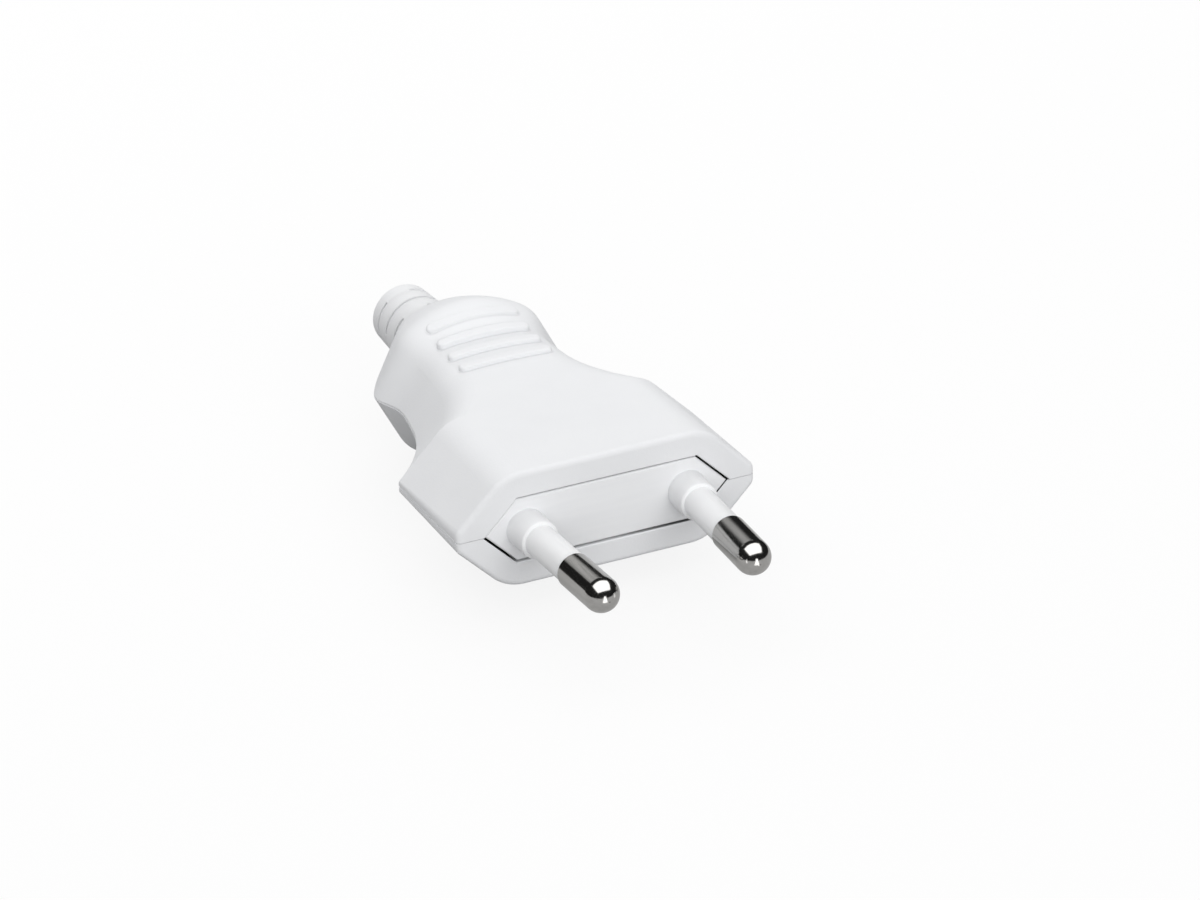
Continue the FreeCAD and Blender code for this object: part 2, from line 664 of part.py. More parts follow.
def main():
    os.makedirs("parts", exist_ok=True)
    solid = half_form()
    half = half_shell(solid)
    nodes = {
        "upper_shell": upper_shell(solid, half),
        "lower_shell": lower_shell(solid, half),
        "pin_carrier": pin_carrier(),
        "bend_relief": bend_relief(),
        "housing_screw": housing_screw(),
        "cord_clamp": cord_clamp(),
    }
    for name, side in (("left", -1), ("right", 1)):
        nodes["pin_" + name] = pin(side)
        nodes["pin_sleeve_" + name] = pin_sleeve(side)
        nodes["terminal_screw_" + name] = terminal_screw(side)
        nodes["clamp_screw_" + name] = clamp_screw(side)
    for name, shape in nodes.items():
        shape.exportStep("parts/%s.step" % name)
        print(name, "volume", round(shape.Volume, 2), "valid", shape.isValid())


main()
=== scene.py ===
# %% [markdown]
# # A white flat plug, from solids to a studio picture
# The imported model is the fixed frame of this lesson: every solid already has its place, in metres, with the
# pins along -Y, the cord side along +Y and +Z up. We load it first.

# %% Load the frame
import bmesh
import bpy
import json
import math
import numpy as np
from mathutils import Matrix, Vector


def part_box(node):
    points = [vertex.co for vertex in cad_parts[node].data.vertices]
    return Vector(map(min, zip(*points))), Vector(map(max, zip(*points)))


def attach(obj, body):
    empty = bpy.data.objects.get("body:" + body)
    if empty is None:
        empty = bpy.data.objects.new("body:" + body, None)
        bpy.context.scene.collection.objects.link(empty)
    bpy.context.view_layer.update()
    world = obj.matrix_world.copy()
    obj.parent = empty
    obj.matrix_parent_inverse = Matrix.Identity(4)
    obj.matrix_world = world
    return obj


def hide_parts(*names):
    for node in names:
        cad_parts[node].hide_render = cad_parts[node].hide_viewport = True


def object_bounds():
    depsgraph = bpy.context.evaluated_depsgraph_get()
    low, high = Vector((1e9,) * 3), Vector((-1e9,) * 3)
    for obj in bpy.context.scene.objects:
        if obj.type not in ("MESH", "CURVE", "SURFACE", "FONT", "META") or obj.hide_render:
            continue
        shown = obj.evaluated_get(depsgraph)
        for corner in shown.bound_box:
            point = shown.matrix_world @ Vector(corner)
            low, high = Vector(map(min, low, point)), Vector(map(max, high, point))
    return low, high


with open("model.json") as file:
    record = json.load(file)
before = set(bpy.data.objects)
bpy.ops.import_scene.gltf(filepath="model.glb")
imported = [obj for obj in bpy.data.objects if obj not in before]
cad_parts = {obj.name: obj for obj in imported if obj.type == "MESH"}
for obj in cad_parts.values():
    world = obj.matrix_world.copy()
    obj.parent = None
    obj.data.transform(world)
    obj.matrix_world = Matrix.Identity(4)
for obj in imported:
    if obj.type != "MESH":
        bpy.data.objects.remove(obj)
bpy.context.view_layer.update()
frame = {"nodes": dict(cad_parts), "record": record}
nodes = frame["nodes"]
MM = 0.001
print("nodes:", ", ".join(sorted(nodes)))

# %% [markdown]
# ## Camera
# A long lens keeps the plug's edges nearly parallel, as product pictures do. The camera looks from the
# front left and from above. Its axes are worked out from three angles: how far it is turned round the plug,
# how high it stands, and how much the picture rolls. The target is given by how far the origin lies from the
# picture's middle, so no lens shift is needed.

# %% Camera at the photograph's angle
def standing(right, up, back, place):
    """Matrix whose columns are an object's right, up and backward directions and its place."""
    matrix = np.eye(4)
    matrix[:3] = np.stack([right, up, back, place], axis=1)
    return Matrix(matrix.tolist())


CAMERA_TURN = math.radians(-24.567)
CAMERA_RISE = math.radians(26.792)
CAMERA_ROLL = math.radians(-1.613)
CAMERA_DISTANCE = 565.48 * MM
ORIGIN_RIGHT = 0.8254 * MM
ORIGIN_UP = -6.3375 * MM

towards = np.array([
    math.sin(CAMERA_TURN) * math.cos(CAMERA_RISE),
    -math.cos(CAMERA_TURN) * math.cos(CAMERA_RISE),
    math.sin(CAMERA_RISE),
])
level = np.array([math.cos(CAMERA_TURN), math.sin(CAMERA_TURN), 0.0])
upright = np.cross(towards, level)
right = math.cos(CAMERA_ROLL) * level + math.sin(CAMERA_ROLL) * upright
up = math.cos(CAMERA_ROLL) * upright - math.sin(CAMERA_ROLL) * level
place = CAMERA_DISTANCE * towards - ORIGIN_RIGHT * right - ORIGIN_UP * up

camera = bpy.data.objects.new("camera", bpy.data.cameras.new("camera"))
bpy.context.scene.collection.objects.link(camera)
camera.data.sensor_width = 36.0
camera.data.lens = 158.17
camera.matrix_world = standing(right, up, towards, place)
bpy.context.scene.camera = camera
bpy.context.scene.view_settings.view_transform = "Standard"
print("camera stands", np.round(place / MM), "mm from the engagement face")

# %% [markdown]
# ## Shader arithmetic
# A finish is easier to read as a formula than as a net of boxes and wires. `Wire` wraps one socket, so that
# an expression such as `1 - abs(z) / width` adds the Math nodes for us. `Finish` starts a material, and its
# one method `node` adds any other node: its type, its settings, then the values or wires of its sockets. The
# x, y and z of a finish are the place on the plug in millimetres, so all lengths in a finish are too.

# %% A socket that can be reckoned with
class Wire:
    """An output socket. Reckoning with it makes a Math node and returns that node's output."""

    def __init__(self, tree, socket):
        self.tree = tree
        self.socket = socket

    def math(self, operation, *values):
        step = self.tree.nodes.new("ShaderNodeMath")
        step.operation = operation
        for entry, value in zip(step.inputs, values):
            if isinstance(value, Wire):
                self.tree.links.new(value.socket, entry)
            else:
                entry.default_value = value
        return Wire(self.tree, step.outputs[0])

    def __add__(self, other):
        return self.math("ADD", self, other)

    def __radd__(self, other):
        return self.math("ADD", other, self)

    def __sub__(self, other):
        return self.math("SUBTRACT", self, other)

    def __rsub__(self, other):
        return self.math("SUBTRACT", other, self)

    def __mul__(self, other):
        return self.math("MULTIPLY", self, other)

    def __rmul__(self, other):
        return self.math("MULTIPLY", other, self)

    def __truediv__(self, other):
        return self.math("DIVIDE", self, other)

    def __abs__(self):
        return self.math("ABSOLUTE", self)

    def clip(self):
        return self.math("MINIMUM", self.math("MAXIMUM", self, 0.0), 1.0)

    def exp(self):
        return self.math("EXPONENT", self)


# %% A material made of formulas
class Finish:
    """A material whose Principled shader takes plain numbers at once, and formulas through wires."""

    def __init__(self, name, **sockets):
        self.material = bpy.data.materials.new(name)
        self.material.use_nodes = True
        self.tree = self.material.node_tree
        self.shader = self.tree.nodes["Principled BSDF"]
        self.feed(self.shader, sockets)
        spot = self.tree.nodes.new("ShaderNodeTexCoord").outputs["Object"]
        self.spot = self.node("ShaderNodeMapping", {}, {
            "Vector": Wire(self.tree, spot), "Scale": (1 / MM, 1 / MM, 1 / MM),
        })
        self.x, self.y, self.z = (
            self.node("ShaderNodeSeparateXYZ", {}, {"Vector": self.spot}, out) for out in range(3)
        )

    def feed(self, node, sockets):
        for key, value in sockets.items():
            entry = node.inputs[key.replace("_", " ") if isinstance(key, str) else key]
            if isinstance(value, Wire):
                self.tree.links.new(value.socket, entry)
            else:
                entry.default_value = value

    def node(self, kind, settings, sockets, out=0):
        step = self.tree.nodes.new(kind)
        for key, value in settings.items():
            setattr(step, key, value)
        self.feed(step, sockets)
        return Wire(self.tree, step.outputs[out])

    def noise(self, per_mm, detail=2.0, stretch=(1, 1, 1)):
        """Soft noise from 0 to 1 with a given number of blobs per millimetre, stretched along the axes."""
        vector = self.node("ShaderNodeMapping", {}, {"Vector": self.spot, "Scale": stretch})
        return self.node("ShaderNodeTexNoise", {}, {"Vector": vector, "Scale": per_mm, "Detail": detail})

    def mix(self, share, first, second):
        """Colour that goes from first to second as share goes from 0 to 1."""
        return self.node("ShaderNodeMix", {"data_type": "RGBA"}, {0: share, 6: first, 7: second}, 2)

    def bump(self, height, depth_mm, strength=1.0, over=None):
        """Normal of a surface raised by height times depth_mm, over an earlier bump if one is given."""
        sockets = {"Height": height, "Distance": depth_mm * MM, "Strength": strength}
        if over is not None:
            sockets["Normal"] = over
        return self.node("ShaderNodeBump", {}, sockets)

    def set(self, **sockets):
        self.feed(self.shader, sockets)


print("shader helpers are ready")

# %% [markdown]
# ## Housing: spark-eroded white plastic
# The mould of such a housing is spark eroded, which leaves a fine sandy skin: too small to see as grains,
# but it spreads every highlight. We raise two sizes of noise by a few hundredths of a millimetre. Two larger
# signs of moulding are added. The wall sinks a little where the screw boss stands behind it, and a thin line
# runs across the engagement face where the two shells meet. Two marks of painted shade follow. The narrow
# joint round the pin carrier never sees light, so its walls are painted nearly black where it stands open.
# A faint dark line along the front foot of each grip ridge is painted shade; the rear foot is left clean.

# %% Painted shade in the joint round the carrier
# Near-black colour painted on the joint walls as shade, since little light reaches them.
JOINT_SHADE_PAINT = (0.02, 0.02, 0.022, 1)
JOINT_DEPTH = 3.0
JOINT_REACH = 0.5
FLANGE_RIM = 1.1
SOFT_EDGE = 0.1
TIGHT_SHARE = 0.03
OPEN_SHARE = 0.77
OPEN_FROM = 0.7
OPEN_OVER = 7.2

flange_corner = np.array(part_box("pin_carrier")[1]) / MM
plate_half_width = flange_corner[0] - FLANGE_RIM
plate_half_height = flange_corner[2] - FLANGE_RIM
print("carrier plate reaches", round(plate_half_width, 2), "and", round(plate_half_height, 2), "mm")


def joint(finish, start):
    """Painted shade mask: 1 on the slanted walls of the joint, from start to its depth, and less on its level
    walls,
    where it is tight: the tight share above, and up to the open share more to the right below."""
    beside = plate_half_width + JOINT_REACH - abs(finish.x) - abs(finish.z)
    above = plate_half_height + JOINT_REACH - abs(finish.z)
    outline = (beside / SOFT_EDGE).clip() * (above / SOFT_EDGE).clip()
    far = JOINT_DEPTH + SOFT_EDGE - finish.y
    depth = ((finish.y - start) / SOFT_EDGE).clip() * (far / SOFT_EDGE).clip()
    slanted = ((plate_half_height + SOFT_EDGE - abs(finish.z)) / SOFT_EDGE).clip()
    below = (finish.z / -SOFT_EDGE).clip()
    to_the_right = ((finish.x - OPEN_FROM) / OPEN_OVER).clip()
    level = TIGHT_SHARE + below * to_the_right * OPEN_SHARE
    return outline * depth * (slanted * (1 - level) + level)


# %% Painted shade at the front foot of the ridges
RIDGE_COUNT = 4
RIDGE_PITCH = 2.97
RIDGE_REAR_Y = 35.0
RIDGE_STRAIGHT = 4.9
FOOT_SQUARE = 0.65
FOOT_SPREAD = 0.35
FRONT_BLEND = 0.8

ridge_rows = [RIDGE_REAR_Y - row * RIDGE_PITCH for row in range(RIDGE_COUNT)]
print("grip ridges at y", np.round(ridge_rows, 2), "mm")


def ridge_foot_shade(finish):
    """Painted shade mask: 1 just ahead of each ridge, less on both sides of that line and nothing behind the
    ridge. It goes by the square of the distance from the ridge's middle line, which is y off that line
    squared plus x past the ridge's straight part squared."""
    past_end = abs(finish.x) - RIDGE_STRAIGHT
    past_end = past_end.math("MAXIMUM", past_end, 0.0)
    lines = []
    for ridge_y in ridge_rows:
        off = finish.y - ridge_y
        square = past_end * past_end + off * off
        front = (0.5 - off / FRONT_BLEND).clip()
        lines.append((1 - abs(square - FOOT_SQUARE) / FOOT_SPREAD).clip() * front)
    return sum(lines[1:], lines[0])


# %% Housing skin
WHITE = (0.85, 0.858, 0.874, 1)
WHITE_SHADE = (0.826, 0.834, 0.85, 1)
# Grey for the seam line across the face, and for the painted shade at the foot of the ridges.
DUST_AND_SHADE_GREY = (0.5, 0.505, 0.52, 1)
# How strongly the painted shade at the front foot of each ridge darkens the skin.
FOOT_SHADE_SHARE = 0.25
SEAM_SHARE = 0.2
SEAM_HALF = 0.075
SEAM_END = 0.75
SEAM_FADE = 0.375
SINK_RADIUS = 2.5

housing = Finish("housing_white", IOR=1.46, Specular_IOR_Level=0.35)
grain = housing.noise(per_mm=4.2, detail=3.0)
sand = housing.noise(per_mm=9.0)
mottle = housing.noise(per_mm=0.16)
boss_y = sum(corner[1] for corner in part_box("housing_screw")) / 2 / MM
from_boss = housing.x * housing.x + (housing.y - boss_y) * (housing.y - boss_y)
sink = (from_boss / -SINK_RADIUS**2).exp() * (housing.z - plate_half_height).clip()
seam = (1 - abs(housing.z) / SEAM_HALF).clip() * ((SEAM_END - housing.y) / SEAM_FADE).clip()
normal = housing.bump(sink, depth_mm=-0.06)
normal = housing.bump(seam, depth_mm=-0.06, over=normal)
normal = housing.bump(grain * 0.7 + sand * 0.3, depth_mm=0.035, strength=0.55, over=normal)
skin = housing.mix((mottle - 0.3) * 1.6, WHITE, WHITE_SHADE)
# Painted shade: a faint dark line at the front foot of each ridge, in the same grey as the seam.
skin = housing.mix(seam * SEAM_SHARE + ridge_foot_shade(housing) * FOOT_SHADE_SHARE, skin, DUST_AND_SHADE_GREY)
# Painted shade: the housing's walls in the joint round the carrier are painted nearly black.
housing.set(
    Base_Color=housing.mix(joint(housing, start=0.12), skin, JOINT_SHADE_PAINT),
    Roughness=0.58 + mottle * 0.1 + grain * 0.06,
    Normal=normal,
)
print("housing finish:", len(housing.tree.nodes), "nodes")

# %% [markdown]
# ## Pin carrier and cord clamp: smooth white plastic
# The carrier comes from a polished mould. It is a shade lighter than the housing, and faint flow lines run
# along it from side to side, so its noise is drawn out along X. The collars in front of its plate lead over
# to the sleeves, so they take nearly the sleeves' white.

# %% Carrier finish
CARRIER_WHITE = (0.87, 0.877, 0.89, 1)
CARRIER_SHADE = (0.84, 0.848, 0.864, 1)
COLLAR_WHITE = (0.928, 0.934, 0.945, 1)
COLLAR_FROM = 0.2
COLLAR_BLEND = 0.8

carrier = Finish("carrier_white", IOR=1.48, Specular_IOR_Level=0.35)
flow = carrier.noise(per_mm=0.9, detail=3.0, stretch=(0.12, 1.0, 1.4))
fleck = carrier.noise(per_mm=3.0, detail=3.0)
normal = carrier.bump(flow, depth_mm=0.02, strength=0.4)
plastic = carrier.mix((flow - 0.35) * 2.0, CARRIER_WHITE, CARRIER_SHADE)
plastic = carrier.mix(((COLLAR_FROM - carrier.y) / COLLAR_BLEND).clip(), plastic, COLLAR_WHITE)
# Painted shade: the carrier's walls in the joint are painted nearly black as well.
carrier.set(
    Base_Color=carrier.mix(joint(carrier, start=0.4), plastic, JOINT_SHADE_PAINT),
    Roughness=0.42 + flow * 0.12,
    Normal=carrier.bump(fleck, depth_mm=0.012, strength=0.3, over=normal),
)
print("carrier finish:", len(carrier.tree.nodes), "nodes")

# %% [markdown]
# ## Sleeves: semi-gloss insulation
# The sleeves are moulded on the pins and are smoother than the rest. A thin coat gives the softer shine of
# polyamide, and slight waves along the pin keep the highlight from looking drawn with a ruler.

# %% Sleeve finish
SLEEVE_WHITE = (0.935, 0.94, 0.948, 1)
SLEEVE_SHADE = (0.905, 0.912, 0.922, 1)

sleeve = Finish("sleeve_white", Coat_Weight=0.15, Coat_Roughness=0.15)
wave = sleeve.noise(per_mm=0.7, stretch=(1.0, 0.35, 1.0))
pore = sleeve.noise(per_mm=6.0)
normal = sleeve.bump(wave, depth_mm=0.02, strength=0.3)
sleeve.set(
    Base_Color=sleeve.mix(wave, SLEEVE_WHITE, SLEEVE_SHADE),
    Roughness=0.26 + wave * 0.12,
    Normal=sleeve.bump(pore, depth_mm=0.006, strength=0.25, over=normal),
)
print("sleeve finish:", len(sleeve.tree.nodes), "nodes")

# %% [markdown]
# ## Bend relief: soft matt plastic
# The boot bends with the cord, so it is made of a softer plastic. Its skin shows a dull bloom in patches,
# the faint rings that a mould leaves round a turned shape, and a shallow hollow along each row of slots,
# where the soft wall has sunk.

# %% Boot finish
BOOT_WHITE = (0.88, 0.886, 0.898, 1)
BOOT_BLOOM = (0.85, 0.856, 0.87, 1)
SLOT_ROWS = 3
SLOT_PITCH = 2.6
SLOT_END = 2.0
HOLLOW_HALF = 0.55
HOLLOW_DEPTH = 0.12

boot = Finish("boot_white", IOR=1.46)
bloom = boot.noise(per_mm=0.35, detail=3.0)
rings = boot.noise(per_mm=2.2, detail=1.0, stretch=(0.08, 1.0, 0.08))
skin_pore = boot.noise(per_mm=5.0)
last_row_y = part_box("bend_relief")[1][1] / MM - SLOT_END
hollows = []
for row in range(SLOT_ROWS):
    off = (boot.y - (last_row_y - row * SLOT_PITCH)) / HOLLOW_HALF
    hollows.append((off * off * -1).exp())
normal = boot.bump(sum(hollows[1:], hollows[0]), depth_mm=-HOLLOW_DEPTH)
normal = boot.bump(rings, depth_mm=0.03, strength=0.4, over=normal)
boot.set(
    Base_Color=boot.mix((bloom - 0.3) * 1.7, BOOT_WHITE, BOOT_BLOOM),
    Roughness=0.5 + bloom * 0.16,
    Normal=boot.bump(skin_pore, depth_mm=0.025, strength=0.4, over=normal),
)
print("boot finish:", len(boot.tree.nodes), "nodes")

# %% [markdown]
# ## Pins: turned brass with polished nickel
# A lathe leaves rings round the pin, and the plating keeps a trace of them. They are narrow noise along the
# pin and nearly none across it. Plugging in and out scratches the pin lengthwise, which dulls it in streaks.

# %% Pin finish
NICKEL = (0.50, 0.492, 0.478, 1)
NICKEL_DULL = (0.43, 0.422, 0.408, 1)

pin = Finish("pin_nickel", Metallic=1.0)
turning = pin.noise(per_mm=7.0, stretch=(0.05, 1.0, 0.05))
streak = pin.noise(per_mm=2.6, detail=3.0, stretch=(1.0, 0.08, 1.0))
normal = pin.bump(turning, depth_mm=0.003, strength=0.35)
pin.set(
    Base_Color=pin.mix((streak - 0.35) * 1.8, NICKEL, NICKEL_DULL),
    Roughness=0.07 + streak * 0.1 + turning * 0.04,
    Normal=pin.bump(streak, depth_mm=0.004, strength=0.25, over=normal),
)
print("pin finish:", len(pin.tree.nodes), "nodes")

# %% [markdown]
# ## Screws: zinc-plated steel
# Plating is bright but uneven. Patches of noise change both its tint and its gloss.

# %% Screw finish
ZINC = (0.60, 0.605, 0.62, 1)
ZINC_DULL = (0.46, 0.465, 0.475, 1)

zinc = Finish("screw_zinc", Metallic=1.0)
patch = zinc.noise(per_mm=1.1, detail=4.0)
tool = zinc.noise(per_mm=8.0, stretch=(1.0, 0.2, 1.0))
zinc.set(
    Base_Color=zinc.mix((patch - 0.3) * 1.8, ZINC, ZINC_DULL),
    Roughness=0.22 + patch * 0.2,
    Normal=zinc.bump(tool, depth_mm=0.004, strength=0.4),
)
print("screw finish:", len(zinc.tree.nodes), "nodes")

# %% [markdown]
# ## Dressing the solids
# The housing, carrier, pins, sleeves and boot have their final shape in the solids, so they keep their meshes
# and only change their finish.

# %% Give each solid its finish
WORN_BY = {
    housing: ("upper_shell", "lower_shell"),
    carrier: ("pin_carrier", "cord_clamp"),
    sleeve: ("pin_sleeve_left", "pin_sleeve_right"),
    boot: ("bend_relief",),
    pin: ("pin_left", "pin_right"),
}
for finish, names in WORN_BY.items():
    for name in names:
        nodes[name].material_slots[0].material = finish.material
    print(finish.material.name, "on", ", ".join(names))

# %% [markdown]
# ## Screws with threads and slots
# In the solids a screw is a plain stem with a head. Here each one gets its thread and a slotted pan head,
# and stands in the same place. The thread is one surface of two parameters, the turn about the axis and the
# height: its radius falls from the crest to the root and back once per pitch, and a full turn shifts it by
# one pitch. The head is laid out in chords, rows that run from rim to rim beside the slot. A chord at the
# slot's edge is written twice, once on top and once at the slot's floor, which gives the slot upright walls.

# %% Grids become meshes
def grid_faces(rows, columns, first):
    """Quads of a grid: corners are a point, its neighbour in the row, and the same two in the next row."""
    index = first + np.arange(rows * columns).reshape(rows, columns)
    quads = np.stack([index[:-1, :-1], index[:-1, 1:], index[1:, 1:], index[1:, :-1]], axis=-1)
    return quads.reshape(-1, 4)


def piece_from_grids(name, grids, finish, sharp_degrees=35):
    """Join grids of points in metres into one closed mesh, merge their seams and turn the faces outwards."""
    points = np.concatenate([grid.reshape(-1, 3) for grid in grids])
    starts = np.cumsum([0] + [grid.shape[0] * grid.shape[1] for grid in grids[:-1]])
    faces = [grid_faces(grid.shape[0], grid.shape[1], start) for grid, start in zip(grids, starts)]
    mesh = bpy.data.meshes.new(name)
    mesh.from_pydata(points.tolist(), [], np.concatenate(faces).tolist())
    build = bmesh.new()
    build.from_mesh(mesh)
    bmesh.ops.remove_doubles(build, verts=build.verts, dist=1e-7)
    bmesh.ops.recalc_face_normals(build, faces=build.faces)
    build.to_mesh(mesh)
    build.free()
    mesh.polygons.foreach_set("use_smooth", np.ones(len(mesh.polygons), bool))
    mesh.set_sharp_from_angle(angle=math.radians(sharp_degrees))
    mesh.materials.append(finish.material)
    piece = bpy.data.objects.new(name, mesh)
    bpy.context.scene.collection.objects.link(piece)
    return piece


# %% Screw surfaces
def thread_grid(crest, root, pitch, length, segments=48, rows_per_pitch=14):
    """Threaded stem below z = 0. Radius = root + (crest - root) * |2 * part - 1|, where part is what is left
    of height / pitch + turn / full turn after whole numbers; it ends in a point, one crest radius long."""
    count = int(length / pitch * rows_per_pitch)
    turn = np.linspace(0, 2 * np.pi, segments + 1)
    height = np.linspace(0, -length, count)[:, None]
    part = np.mod(height / pitch + turn / (2 * np.pi), 1.0)
    radius = root + (crest - root) * np.abs(2 * part - 1)
    radius = radius * np.clip((length + height) / crest, 0, 1) ** 0.6
    radius[0] = 0
    stem = np.stack([radius * np.cos(turn), radius * np.sin(turn), height + 0 * turn], axis=-1)
    stem[:, -1] = stem[:, 0]
    return stem


def head_grids(radius, height, slot_width, slot_depth, dome, side_rows=16, columns=24):
    """Slotted head above z = 0, as rows of chords. A chord at y reaches x = +- sqrt(radius^2 - y^2). The top
    is height - dome * (distance from the axis / radius)^2, and height - slot_depth in the slot."""
    half = slot_width / 2
    side = radius * np.sin(np.linspace(np.arcsin(half / radius), np.pi / 2, side_rows))
    y = np.concatenate([-side[::-1], [-half, half], side])
    in_slot = np.concatenate([np.zeros(side_rows), [1, 1], np.zeros(side_rows)])
    across = np.sin(np.linspace(-np.pi / 2, np.pi / 2, columns))
    reach = np.sqrt(np.maximum(radius**2 - y**2, 0))
    x = reach[:, None] * across
    y_grid = y[:, None] + 0 * x
    top = height - dome * (x**2 + y_grid**2) / radius**2
    top = np.where(in_slot[:, None] > 0, height - slot_depth, top)
    upper = np.stack([x, y_grid, top], axis=-1)
    lower = np.stack([x, y_grid, 0 * x], axis=-1)
    walls = [np.stack([lower[:, edge], upper[:, edge]], axis=1) for edge in (0, -1)]
    return [upper, lower] + walls


print("screw surfaces are defined")

# %% Put the screws in their places
# Stem radius and head height in millimetres. The other sizes come from the solid's box.
SCREWS = {
    "housing_screw": (1.3, 2.0),
    "terminal_screw_left": (1.25, 1.3),
    "terminal_screw_right": (1.25, 1.3),
    "clamp_screw_left": (1.1, 1.4),
    "clamp_screw_right": (1.1, 1.4),
}
THREAD_PITCH = 0.8
THREAD_DEPTH = 0.25
SLOT_WIDTH = 0.7
SLOT_DEPTH = 0.6
DOME = 0.3

for name, (stem_radius, head_height) in SCREWS.items():
    low, high = (np.array(corner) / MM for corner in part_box(name))
    middle = (low + high) / 2
    head_radius = (high[0] - low[0]) / 2
    stem_length = high[2] - low[2] - head_height
    grids = [thread_grid(stem_radius, stem_radius - THREAD_DEPTH, THREAD_PITCH, stem_length)]
    grids += head_grids(head_radius, head_height, SLOT_WIDTH, SLOT_DEPTH, DOME)
    if name == "housing_screw":
        grids = [grid * (-1, 1, -1) for grid in grids]
        seat = low[2] + head_height
    else:
        seat = high[2] - head_height
    place = np.array([middle[0], middle[1], seat])
    screw = piece_from_grids(name + "_threaded", [(grid + place) * MM for grid in grids], zinc)
    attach(screw, "root")
    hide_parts(name)
    print(screw.name, len(screw.data.polygons), "faces, seat at z", round(seat, 2), "mm")

# %% [markdown]
# ## Studio
# The plug lies on a white table. White plastic wants light from all sides, so an even sky does much of the
# work. A softbox above and behind and a broad fill in front share the rest: light from behind shades the
# front of each grip ridge, and the fill keeps the face bright. Polished metal wants the opposite, a few
# bright shapes on black, or it turns into more white plastic. So the two are set apart: the lamps light the
# plug without showing in reflections, while dark walls and bright cards show only there. A small card just
# ahead of each pin puts a drop of light on its tip, below the broad light of the card overhead.

# %% Studio helpers
def stage_object(name, points, material):
    """Part of the studio, from a grid of points in metres."""
    mesh = bpy.data.meshes.new(name)
    rows, columns = points.shape[:2]
    mesh.from_pydata(points.reshape(-1, 3).tolist(), [], grid_faces(rows, columns, 0).tolist())
    mesh.materials.append(material)
    thing = bpy.data.objects.new(name, mesh)
    bpy.context.scene.collection.objects.link(thing)
    return thing


def seen_directly(tree, in_gloss=1.0):
    """1 for rays from the camera or through glass, which show the background itself, in_gloss for mirrored
    ones and 0 for those that only carry light."""
    path = tree.nodes.new("ShaderNodeLightPath")
    camera_ray, glass_ray, gloss_ray = (
        Wire(tree, path.outputs[name]) for name in ("Is Camera Ray", "Is Transmission Ray", "Is Glossy Ray")
    )
    return (camera_ray + glass_ray + gloss_ray * in_gloss).clip()


# %% Table
TABLE_HALF = 3.0
TABLE_BOUNCE = (0.3, 0.3, 0.3, 1)
TABLE_WHITE = (0.9, 0.9, 0.9, 1)
GLOW_SHARE = 0.86
GLOW_IN_GLOSS = 0.3

table = Finish("table_white", Roughness=0.9)
looked_at = seen_directly(table.tree, GLOW_IN_GLOSS)
table.set(Base_Color=table.mix(looked_at, TABLE_BOUNCE, TABLE_WHITE))
matt = Wire(table.tree, table.shader.outputs[0])
glow = table.node("ShaderNodeEmission", {}, {"Color": (1, 1, 1, 1), "Strength": 1.0})
both = table.node("ShaderNodeMixShader", {}, {0: looked_at * GLOW_SHARE, 1: matt, 2: glow})
table.feed(table.tree.nodes["Material Output"], {"Surface": both})

table_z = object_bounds()[0][2]
across, along = np.meshgrid([-TABLE_HALF, TABLE_HALF], [-TABLE_HALF, TABLE_HALF])
stage_object("table", np.stack([across, along, 0 * across + table_z], axis=-1), table.material)
print("table at z", round(table_z / MM, 2), "mm")

# %% Sky
SKY_FILL = 0.53

sky = bpy.data.worlds.new("sky")
bpy.context.scene.world = sky
sky.use_nodes = True
background = sky.node_tree.nodes["Background"]
brightness = seen_directly(sky.node_tree) * (1 - SKY_FILL) + SKY_FILL
sky.node_tree.links.new(brightness.socket, background.inputs["Strength"])
background.inputs["Color"].default_value = (1, 1, 1, 1)
print("sky is white to look at and gives", SKY_FILL, "of that as light")


# %% Glowing panels
def glowing(name, strength, dark_z=None, bright_z=None):
    """Material that only shines, evenly, or from nothing at one height to its full strength at another."""
    finish = Finish(name)
    colour = (1, 1, 1, 1)
    if dark_z is not None:
        rise = (finish.z * MM - dark_z) / (bright_z - dark_z)
        colour = finish.mix(rise.clip(), (0, 0, 0, 1), colour)
    shine = finish.node("ShaderNodeEmission", {}, {"Color": colour, "Strength": strength})
    finish.feed(finish.tree.nodes["Material Output"], {"Surface": shine})
    return finish.material


def panel_axes(place, target):
    """Side, top and back directions of a panel that faces from place to target."""
    back = np.array(place) - np.array(target)
    back = back / np.linalg.norm(back)
    side = np.cross((0, 1, 0), back)
    side = side / np.linalg.norm(side)
    return side, np.cross(back, side), back


def bright_card(name, place, target, width, height, glow):
    """Rectangle of light: place + side * u + top * v for u and v over half the width and height each way."""
    side, top = panel_axes(place, target)[:2]
    u, v = np.meshgrid([-width / 2, width / 2], [-height / 2, height / 2])
    points = np.array(place) + u[..., None] * side + v[..., None] * top
    return stage_object(name, points, glow)


def dark_dome(name, radius, glow, turns=48, rises=12):
    """Half a sphere over the table: x and y go round with cos(rise), z is sin(rise), all times radius."""
    turn, rise = np.meshgrid(np.linspace(0, 2 * np.pi, turns + 1), np.linspace(0, np.pi / 2, rises + 1))
    dome = np.stack([np.cos(turn) * np.cos(rise), np.sin(turn) * np.cos(rise), np.sin(rise)], axis=-1)
    return stage_object(name, dome * radius + (0, 0, table_z), glow)


# %% A card for each pin's tip
TIP_CARD_AHEAD = 8 * MM
TIP_CARD_ASIDE = -0.6 * MM
TIP_CARD_BOTTOM = -4.4 * MM
TIP_CARD_TOP = 2.5 * MM
TIP_CARD_FOOT = 4.8 * MM
TIP_CARD_HEAD = 1.6 * MM
TIP_FROM_MOUNT = 5 * MM


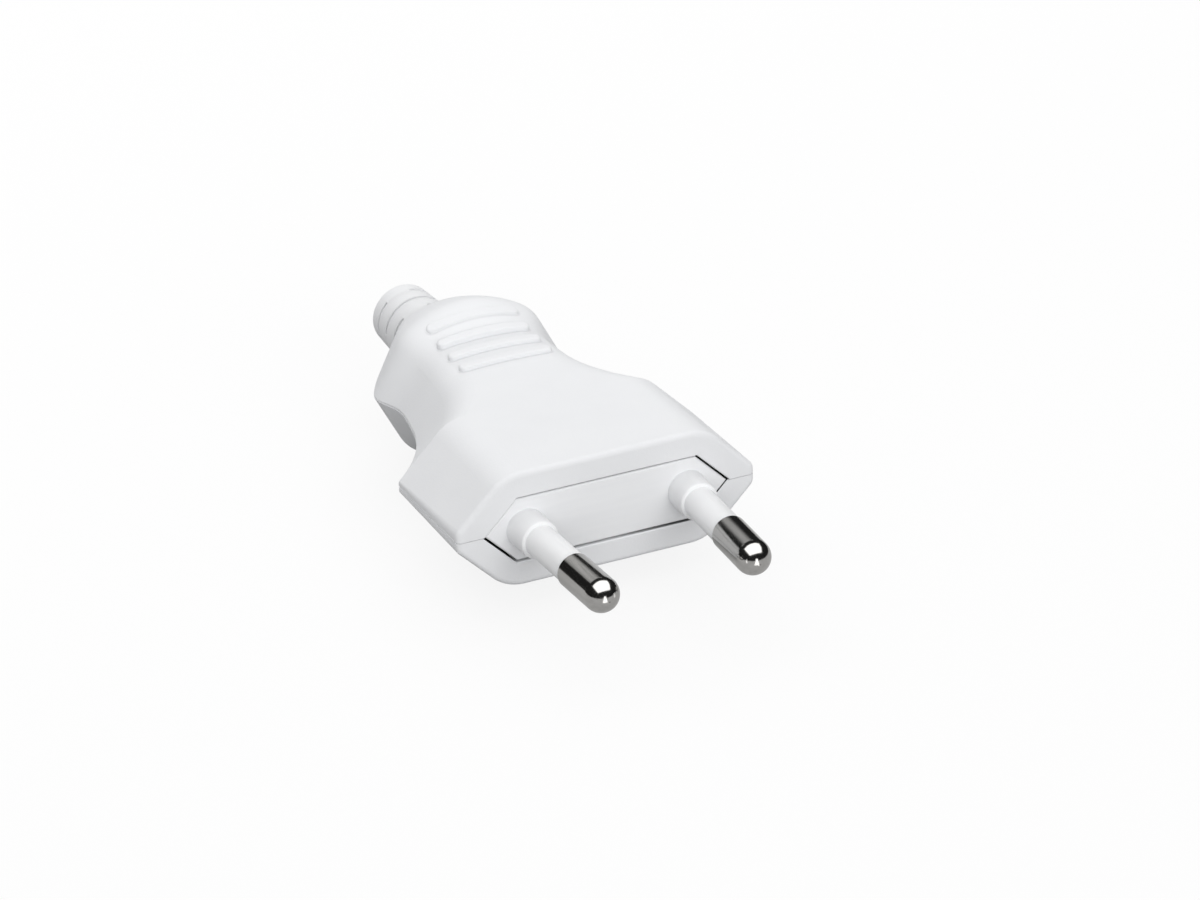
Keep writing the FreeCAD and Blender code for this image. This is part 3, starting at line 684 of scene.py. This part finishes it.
def tip_card(name, tip, glow):
    """Upright card ahead of a pin's tip, as wide as the foot below and as the head above."""
    u = np.array([[-TIP_CARD_FOOT, TIP_CARD_FOOT], [-TIP_CARD_HEAD, TIP_CARD_HEAD]]) / 2
    z = np.array([[TIP_CARD_BOTTOM, TIP_CARD_BOTTOM], [TIP_CARD_TOP, TIP_CARD_TOP]])
    points = np.stack([tip[0] + TIP_CARD_ASIDE + u, tip[1] - TIP_CARD_AHEAD + 0 * u, z], axis=-1)
    return stage_object(name, points, glow)


# %% What the metal mirrors
MIDDLE = (0.0, 0.0, 0.0)

mirrored = [
    dark_dome("dark_walls", radius=1.5, glow=glowing("wall_dark", strength=0.02)),
    bright_card(
        "overhead_card", place=(0.02, -0.12, 0.48), target=(0.02, -0.02, 0.0), width=0.95, height=0.70,
        glow=glowing("overhead_glow", strength=2.3),
    ),
    bright_card(
        "rear_card", place=(0.0, 0.81, 0.59), target=MIDDLE, width=0.90, height=0.16,
        glow=glowing("rear_glow", strength=0.85, dark_z=0.545, bright_z=0.61),
    ),
]
tip_glow = glowing("tip_glow", strength=2.4)
for mount in frame["record"]["mounts"]:
    if mount["kind"] == "pin":
        tip = np.array(mount["pos_m"]) + TIP_FROM_MOUNT * np.array(mount["axis"])
        mirrored.append(tip_card(mount["name"] + "_card", tip, tip_glow))
for thing in mirrored:
    thing.visible_camera = False
    thing.visible_diffuse = False
    thing.visible_transmission = False
    thing.visible_shadow = False
print("mirrored only:", ", ".join(thing.name for thing in mirrored))


# %% Lamps
def area_light(name, place, target, width, height, radiance):
    """Rectangular lamp. Its power is radiance * pi * area, so that radiance is the brightness of its face."""
    data = bpy.data.lights.new(name, "AREA")
    data.shape = "RECTANGLE"
    data.size = width
    data.size_y = height
    data.energy = radiance * math.pi * width * height
    lamp = bpy.data.objects.new(name, data)
    bpy.context.scene.collection.objects.link(lamp)
    lamp.matrix_world = standing(*panel_axes(place, target), place)
    lamp.visible_glossy = False
    print(name, "gives", round(data.energy, 2), "W")


area_light("rear_softbox", place=(0.02, 0.38, 0.42), target=MIDDLE, width=0.95, height=0.60, radiance=1.17)
area_light("front_fill", place=(-0.10, -1.20, 0.50), target=MIDDLE, width=1.20, height=0.70, radiance=3.45)
